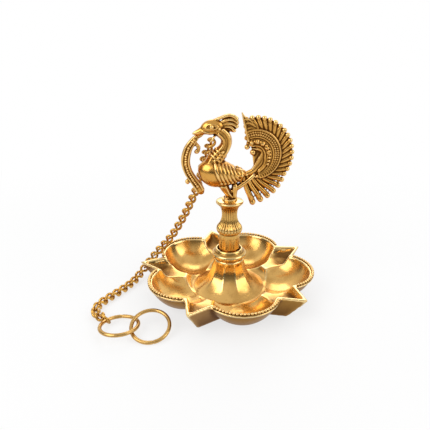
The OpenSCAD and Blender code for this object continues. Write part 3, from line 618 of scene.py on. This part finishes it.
# Plume: a curled web with ridges and bead rows, and a thin fan under ribbed barbs that end in balls
plume = {
    "voxel": 0.36, "rounds": 2, "reliefRounds": 14, "patina": 0.6, "dull": 0.05, "centre": (19.3, 36.4),
    "webR": 18.5, "webHalf": 1.8, "webFrom": 104, "webStep": 5, "tipFrom": 84, "tipGrow": 0.28,
    "inner": [(14.2, 20.6), (18.2, 22.6), (22, 26), (24.2, 30.2), (24.6, 34.4), (23.6, 38.4), (21, 40.8),
              (17.4, 41), (14.4, 41.2), (13.4, 45), (12.4, 51.4), (10.6, 57.2), (9.4, 61.4), (7.8, 68)],
    "innerR": [(-92, 13.6), (-73, 11), (-48, 8.2), (-19, 5.6), (19, 4.8), (51, 4.8), (84, 4.8), (109, 5)],
    "fanHalf": 0.8, "fanInset": 0.8, "fanUnder": 2, "fanPoints": 48,
    "barbs": 22, "first": 107.5, "last": -92, "reach": 27, "lowReach": 38.5, "lowFrom": -35, "barbUnder": 0.6,
    "sweep": 13, "lowSweep": 28, "sweepFrom": 20, "sweepBend": 1.4, "ballR": 2.05, "ballShare": 0.41,
    "barbAt": [(0, 0.46), (0.25, 0.46), (0.5, 0.46), (0.75, 0.42), (1, 0.3)], "barbMax": 2.3,
    "ribOut": 0.34, "ribClose": 0.5, "ribShare": 0.24,
    "rowFrom": 112, "ridgeStep": 12, "ridges": [(0.98, 0.85), (0.6, 0.65), (0.47, 0.5), (0.25, 0.65), (0.12, 0.6)],
    "beadRows": [(0.85, 0.8, 1.72, -90), (0.72, 0.8, 1.72, -90), (0.36, 1.1, 2.4, -50)], "beadOut": 0.1,
    "bigBeads": [(15.6, 45.0, 1.8), (19.8, 45.8, 2.0), (23.8, 44.4, 2.0), (26.8, 41.4, 1.8), (28.2, 37.8, 1.6)],
    "bigBeadOut": 0.8,
    "stalk": [(10.8, 20.4, 2.0), (14.2, 21.6, 2.1), (17.8, 23.6, 2.1), (21.2, 26.8, 2.0), (23.6, 30.6, 1.9),
              (24.2, 34.4, 1.7), (23.2, 38.2, 1.5), (20.6, 40.6, 1.3), (17.8, 40.5, 1.1), (16.4, 38.8, 1.0)],
    "veins": [[(13.6, 43.6, 1.0), (16.4, 42.9, 0.9), (20.6, 43, 0.8), (24, 41.2, 0.7)],
              [(12.2, 55.6, 0.8), (15.2, 56.2, 0.75), (19.4, 54.4, 0.6)],
              [(11, 59.4, 0.75), (14, 59.6, 0.7), (18, 57.4, 0.55)],
              [(9.8, 62.6, 0.7), (12.6, 62.4, 0.65), (16, 60.2, 0.5)],
              [(13.3, 46, 1.0), (11.9, 52, 1.0), (10.3, 58.4, 0.9), (8.1, 66.8, 0.5)]],
    "veinOut": 1.5,
    "tips": [(16.9, 37.6, 2.4), (12.4, 41.6, 2.1), (12.0, 48.4, 2.0), (13.4, 44.6, 1.8), (11.0, 57, 1.9),
             (11.7, 52.6, 1.7), (10.2, 60.6, 1.5)],
}


def fan(a, r):  # x and height at a turn and radius from the plume's centre
    return plume["centre"][0] + r * math.cos(math.radians(a)), plume["centre"][1] + r * math.sin(math.radians(a))


def barbReach(a):  # the low barbs are longer
    low = max(0, (plume["lowFrom"] - a) / (plume["lowFrom"] - plume["last"]))
    return plume["reach"] + (plume["lowReach"] - plume["reach"]) * low


def bandR(a, share):  # a radius between the web's inner and outer edge
    inner = float(np.interp(a, *zip(*plume["innerR"])))
    return inner + share * (plume["webR"] - inner)


def plate(bm, outline, half):  # a flat plate in the bird's plane
    corners = [bm.verts.new((x, -half, perch + z)) for x, z in outline]
    face = bmesh.ops.contextual_create(bm, geom=corners)["faces"]
    grown = bmesh.ops.extrude_face_region(bm, geom=face, use_keep_orig=True)["geom"]
    moved = [part for part in grown if isinstance(part, bmesh.types.BMVert)]
    bmesh.ops.translate(bm, vec=(0, 2 * half, 0), verts=moved)
    bmesh.ops.recalc_face_normals(bm, faces=bm.faces)


def barb(a, spacing):  # a fat rib between two thin ones, swept back towards the web
    low, high = plume["last"], plume["sweepFrom"]
    sweepBy = float(np.interp(a, (low, high), (plume["lowSweep"], plume["sweep"])))
    root = plume["webR"] - plume["barbUnder"]
    ribs = [[], [], []]
    for t, share in plume["barbAt"]:
        r = root + (barbReach(a) - root) * t
        turn = a - sweepBy * (1 - t) ** plume["sweepBend"]
        gap = r * math.radians(spacing)
        for rib, side in zip(ribs, (-1, 0, 1)):
            x, z = fan(turn + side * plume["ribOut"] * spacing * (1 - plume["ribClose"] * t), r)
            rib.append((x, z, gap * plume["ribShare"] if side else min(gap * share, plume["barbMax"])))
    return [midline(rib) for rib in ribs]


def makePlume():
    bm = bmesh.new()
    last = plume["last"]
    edge = [fan(a, plume["webR"] + max(0, a - plume["tipFrom"]) * plume["tipGrow"])
            for a in range(plume["webFrom"], last, -plume["webStep"])]
    plate(bm, edge + plume["inner"], plume["webHalf"])
    turns = np.linspace(plume["first"], last, plume["fanPoints"])
    ends = [fan(a, barbReach(a) - plume["fanInset"]) for a in turns]
    plate(bm, ends + [fan(a, plume["webR"] - plume["fanUnder"]) for a in turns[::-1]], plume["fanHalf"])
    laid, dots = [], []
    spacing = (plume["first"] - last) / (plume["barbs"] - 1)
    for k in range(plume["barbs"]):
        a = plume["first"] - spacing * k
        laid += barb(a, spacing)
        radius = max(plume["ballR"], plume["ballShare"] * barbReach(a) * math.radians(spacing))
        dots += midline([(*fan(a, barbReach(a)), radius)])
    for share, radius in plume["ridges"]:
        run = [fan(a, bandR(a, share)) for a in range(plume["rowFrom"], last, -plume["ridgeStep"])]
        laid += flanks([(x, plume["webHalf"], z, radius) for x, z in run])
    for share, radius, step, stop in plume["beadRows"]:
        a = plume["rowFrom"]
        while a > stop:
            x, z = fan(a, bandR(a, share))
            dots += twins([(x, plume["webHalf"] + plume["beadOut"], z, radius)])
            a -= math.degrees(step / bandR(a, share))
    laid.append(midline(plume["stalk"]))
    for vein in plume["veins"]:
        laid += flanks([(x, plume["veinOut"], z, r) for x, z, r in vein])
    dots += midline(plume["tips"])
    dots += twins([(x, plume["webHalf"] * plume["bigBeadOut"], z, r) for x, z, r in plume["bigBeads"]])
    rods(bm, laid)
    balls(bm, dots)
    cast(bm, plume["voxel"], plume["rounds"])
    finishPiece("plume_cast", bm, castBrass, "lamp", ["bird_tail"], plume["reliefRounds"],
                {"relief": plume["dull"] + patina(bm, plume["patina"])})


makePlume()
print("plume done")


# Vine: two edge ridges with a bead row between them on each flank, and balls on its tendril and foot
vine = {
    "voxel": 0.3, "rounds": 2, "reliefRounds": 14, "patina": 0.4, "around": 24,
    "rows": [(-24.8, 49.6, 1.6, 2.2), (-28, 46, 2.6, 2.8), (-31.4, 41, 3.2, 3), (-33.4, 35, 3.5, 3.1),
             (-33.8, 29, 3.5, 3.1), (-32, 22.6, 3.3, 3), (-28.4, 16.6, 3.2, 2.9), (-25, 11.6, 3.6, 2.8),
             (-22.6, 7, 3.4, 2.4)],
    "edges": (0.66, -0.66), "edgeOut": 0.78, "edgeR": 0.8,
    "beadR": 0.82, "beadStep": 1.8, "beadFrom": 3, "beadStop": 4, "beadOut": 0.05, "runPoints": 400,
    "tips": [(-32.8, 14.8, 2.0), (-25.2, 38.4, 1.9), (-24.0, 41.6, 1.6)],
}


def makeVine():
    laid, dots = [], []
    rows = vine["rows"]
    for lean in vine["edges"]:
        laid += flanks(alongside(rows, lean, vine["edgeOut"], vine["edgeR"]))
    steps = np.linspace(0, len(rows) - 1, vine["runPoints"])
    xs, zs, ys = [np.interp(steps, range(len(rows)), [row[k] for row in rows]) for k in (0, 1, 3)]
    run = np.concatenate([[0], np.cumsum(np.hypot(np.diff(xs), np.diff(zs)))])
    for at in np.arange(vine["beadFrom"], run[-1] - vine["beadStop"], vine["beadStep"]):
        x, z, y = [float(np.interp(at, run, values)) for values in (xs, zs, ys)]
        dots += twins([(x, y + vine["beadOut"], z, vine["beadR"])])
    dots += midline(vine["tips"])
    bm = cadCopy("bird_vine")
    sweep(bm, rows, vine["around"])
    rods(bm, laid)
    balls(bm, dots)
    cast(bm, vine["voxel"], vine["rounds"])
    finishPiece("vine_cast", bm, castBrass, "lamp", ["bird_vine"], vine["reliefRounds"],
                {"relief": patina(bm, vine["patina"])})


makeVine()
print("vine done")


# Chain: each link is a closed wire on the CAD wire's middle line, on its own body
chain = {
    "hookR": 0.9, "sideR": 1.16, "resolution": 4, "roundness": 3, "floor": 0.02, "edge": 0.05, "endDarkening": 0.11,
}


def walk(corner, edge):  # the loop of corners round a mesh of four-sided faces
    loop = [corner]
    while True:
        corner = edge.other_vert(corner)
        if corner is loop[0]:
            return loop
        loop.append(corner)
        edge = next(e for e in corner.link_edges if not set(e.link_faces) & set(edge.link_faces))


def wireMiddles(bm):  # the middle of each section of a bent wire, in order
    bm.verts.ensure_lookup_table()
    rounds = [walk(bm.verts[0], edge) for edge in bm.verts[0].link_edges]
    middles = []
    for corner in max(rounds, key=len):
        section = min((walk(corner, edge) for edge in corner.link_edges), key=len)
        middles.append(np.mean([v.co for v in section], axis=0))
    return np.array(middles)


def makeLink(node):
    bm = cadCopy(node)
    bmesh.ops.join_triangles(bm, faces=bm.faces, angle_face_threshold=math.pi, angle_shape_threshold=math.pi)
    middles = wireMiddles(bm)
    bm.clear()
    centre = middles.mean(0)
    along = np.linalg.svd(middles - centre, full_matrices=False)[2][0]
    far = np.abs((middles - centre) @ along)
    fuller = (chain["sideR"] - chain["hookR"]) * (1 - (far / far.max()) ** 2) * (node != "end_link")
    radii = chain["hookR"] + fuller  # thinner where the links hook, fuller along the sides
    wire = [(*middle, radius) for middle, radius in zip(middles, radii)]
    rods(bm, [wire], chain["resolution"], chain["roundness"], closed=True)
    reach = np.abs((np.array([v.co for v in bm.verts]) - centre) @ along)
    for v in bm.verts:  # kept off the table and no further left than the CAD box
        v.co.z = max(v.co.z, chain["floor"])
        v.co.x = max(v.co.x, cadBox[0][0] / mm + chain["edge"])
    # darker towards each link's ends, where it hooks the next
    dirtAndShade = chain["endDarkening"] * np.clip(reach / reach.max() * 2 - 1, 0, 1)
    finishPiece(node + "_wire", bm, chainBrass, node, [node], 0, {"relief": dirtAndShade})


linkNames = sorted(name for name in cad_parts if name.startswith("chain_link_")) + ["end_link"]
for linkName in linkNames:
    makeLink(linkName)
print("chain done:", len(linkNames), "links")


# Rings: drawn wire bent round, with a groove where its ends are brazed together
rings = {
    "wire": 2.8, "radius": 13.8, "section": 20, "steps": 128, "reliefRounds": 3, "seam": 0.3, "seamHalf": 0.05,
    "seamTurns": {"inner_ring": 33, "hanging_ring": 101},
    "tilts": {"inner_ring": (-8, -1.2), "hanging_ring": (18, 0)},
}


def makeRing(node):
    low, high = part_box(node)
    bm = bmesh.new()
    section = bmesh.ops.create_circle(bm, segments=rings["section"], radius=rings["wire"] / 2, matrix=(
        Matrix.Translation((rings["radius"], 0, 0)) @ Matrix.Rotation(math.pi / 2, 4, "X")))["verts"]
    bmesh.ops.spin(bm, geom=section + list(bm.edges), cent=(0, 0, 0), axis=(0, 0, 1), angle=math.tau,
                   steps=rings["steps"], use_merge=True)
    bmesh.ops.recalc_face_normals(bm, faces=bm.faces)
    seam = rings["seamTurns"][node] * math.tau / rings["steps"]
    out = Vector((math.cos(seam), math.sin(seam), 0))
    for v in bm.verts:
        if v.co.dot(out) > 0 and abs(v.co.cross(out).z) < rings["seamHalf"]:
            v.co -= (v.co - out * rings["radius"]).normalized() * rings["seam"]
    tiltX, tiltY = [math.radians(a) for a in rings["tilts"][node]]
    tilt = Matrix.Rotation(tiltY, 4, "Y") @ Matrix.Rotation(tiltX, 4, "X")
    bmesh.ops.transform(bm, matrix=Matrix.Translation((low + high) / 2 / mm) @ tilt, verts=bm.verts)
    finishPiece(node + "_wire", bm, ringBrass, node, [node], rings["reliefRounds"])


for ringName in rings["tilts"]:
    makeRing(ringName)
print("rings done")


# Stage: pale floor that runs into a white background, soft boxes and the photograph's camera
stage = {
    "floorHalf": 6.0, "floorColour": (0.86, 0.86, 0.86, 1), "white": 0.72, "whiteFrom": 0.16, "whiteTo": 0.5,
    "skyLow": 0.12, "skyHigh": 0.95, "skyFrom": 0.1, "skyTo": 0.75, "skyStrength": 0.8,
    "backFrom": 0.25, "backTo": 0.6, "lampAim": (0, 0, 0.06),
    "lamps": [("key", (-0.75, -0.55, 0.70), 0.8, 5.8), ("side", (0.85, -0.30, 0.55), 0.7, 3.3),
              ("back", (0.10, 0.80, 0.70), 0.7, 2.8)],
    "lens": 34.35, "sensor": 36, "clip": (0.01, 50), "cameraAt": (-0.0154, -0.3035, 0.1916),
    "cameraTilt": 67.91, "cameraTurn": -0.72,
}
whiteLight = {"Color": (1, 1, 1, 1), "Strength": 1.0}


def rayKinds(start):  # 1 for a ray from the camera, off gloss, through glass
    camera = start.node("ShaderNodeLightPath", out="Is Camera Ray")
    return camera, camera.other("Is Glossy Ray"), camera.other("Is Transmission Ray")


def makeFloor():
    bm = bmesh.new()
    bmesh.ops.create_grid(bm, x_segments=2, y_segments=2, size=stage["floorHalf"])
    mesh = bpy.data.meshes.new("floor")
    bm.to_mesh(mesh)
    bm.free()
    material = bpy.data.materials.new("paleFloor")
    start = emptyTree(material)
    camera, glossy, through = rayKinds(start)
    place = start.node("ShaderNodeTexCoord", out="Object")
    away = start.node("ShaderNodeVectorMath", {"operation": "LENGTH"}, {0: place}, "Value")
    share = stage["white"] + away.ease(stage["whiteFrom"], stage["whiteTo"]) * (1 - stage["white"])
    seen = start.maths("MINIMUM", camera + glossy + through, 1.0)
    matt = start.node("ShaderNodeBsdfDiffuse", None, {"Color": stage["floorColour"]})
    white = start.node("ShaderNodeEmission", None, whiteLight)
    both = start.node("ShaderNodeMixShader", None, {0: seen * share, 1: matt, 2: white})
    start.node("ShaderNodeOutputMaterial", None, {"Surface": both})
    mesh.materials.append(material)
    floor = bpy.data.objects.new("floor", mesh)
    scene.collection.objects.link(floor)


def makeSky():
    scene.world = bpy.data.worlds.new("studio")
    start = emptyTree(scene.world)
    camera, glossy, through = rayKinds(start)
    place = start.node("ShaderNodeTexCoord", out="Generated")
    up = start.node("ShaderNodeSeparateXYZ", None, {0: place}, "Z")
    behind = up.other("Y").ease(stage["backFrom"], stage["backTo"])  # brass shows the backdrop that stands there
    room = stage["skyLow"] + up.ease(stage["skyFrom"], stage["skyTo"]) * (stage["skyHigh"] - stage["skyLow"])
    plain = start.node("ShaderNodeBackground", None, whiteLight | {"Strength": room * stage["skyStrength"]})
    white = start.node("ShaderNodeBackground", None, whiteLight)
    seen = start.maths("MINIMUM", camera + through + glossy * behind, 1.0)
    both = start.node("ShaderNodeMixShader", None, {0: seen, 1: plain, 2: white})
    start.node("ShaderNodeOutputWorld", None, {"Surface": both})


def makeLamps():
    for name, at, size, power in stage["lamps"]:
        lamp = bpy.data.lights.new(name, "AREA")
        lamp.energy, lamp.size, lamp.shape = power, size, "SQUARE"
        holder = bpy.data.objects.new(name, lamp)
        holder.location = at
        holder.rotation_euler = (Vector(stage["lampAim"]) - Vector(at)).to_track_quat("-Z", "Y").to_euler()
        scene.collection.objects.link(holder)


def makeCamera():
    camera = bpy.data.cameras.new("camera")
    camera.lens, camera.sensor_width = stage["lens"], stage["sensor"]
    camera.clip_start, camera.clip_end = stage["clip"]
    holder = bpy.data.objects.new("camera", camera)
    holder.location = stage["cameraAt"]
    holder.rotation_euler = (math.radians(stage["cameraTilt"]), 0, math.radians(stage["cameraTurn"]))
    scene.collection.objects.link(holder)
    scene.camera = holder


makeFloor()
makeSky()
makeLamps()
makeCamera()
scene.view_settings.view_transform = "Standard"
print("stage done")
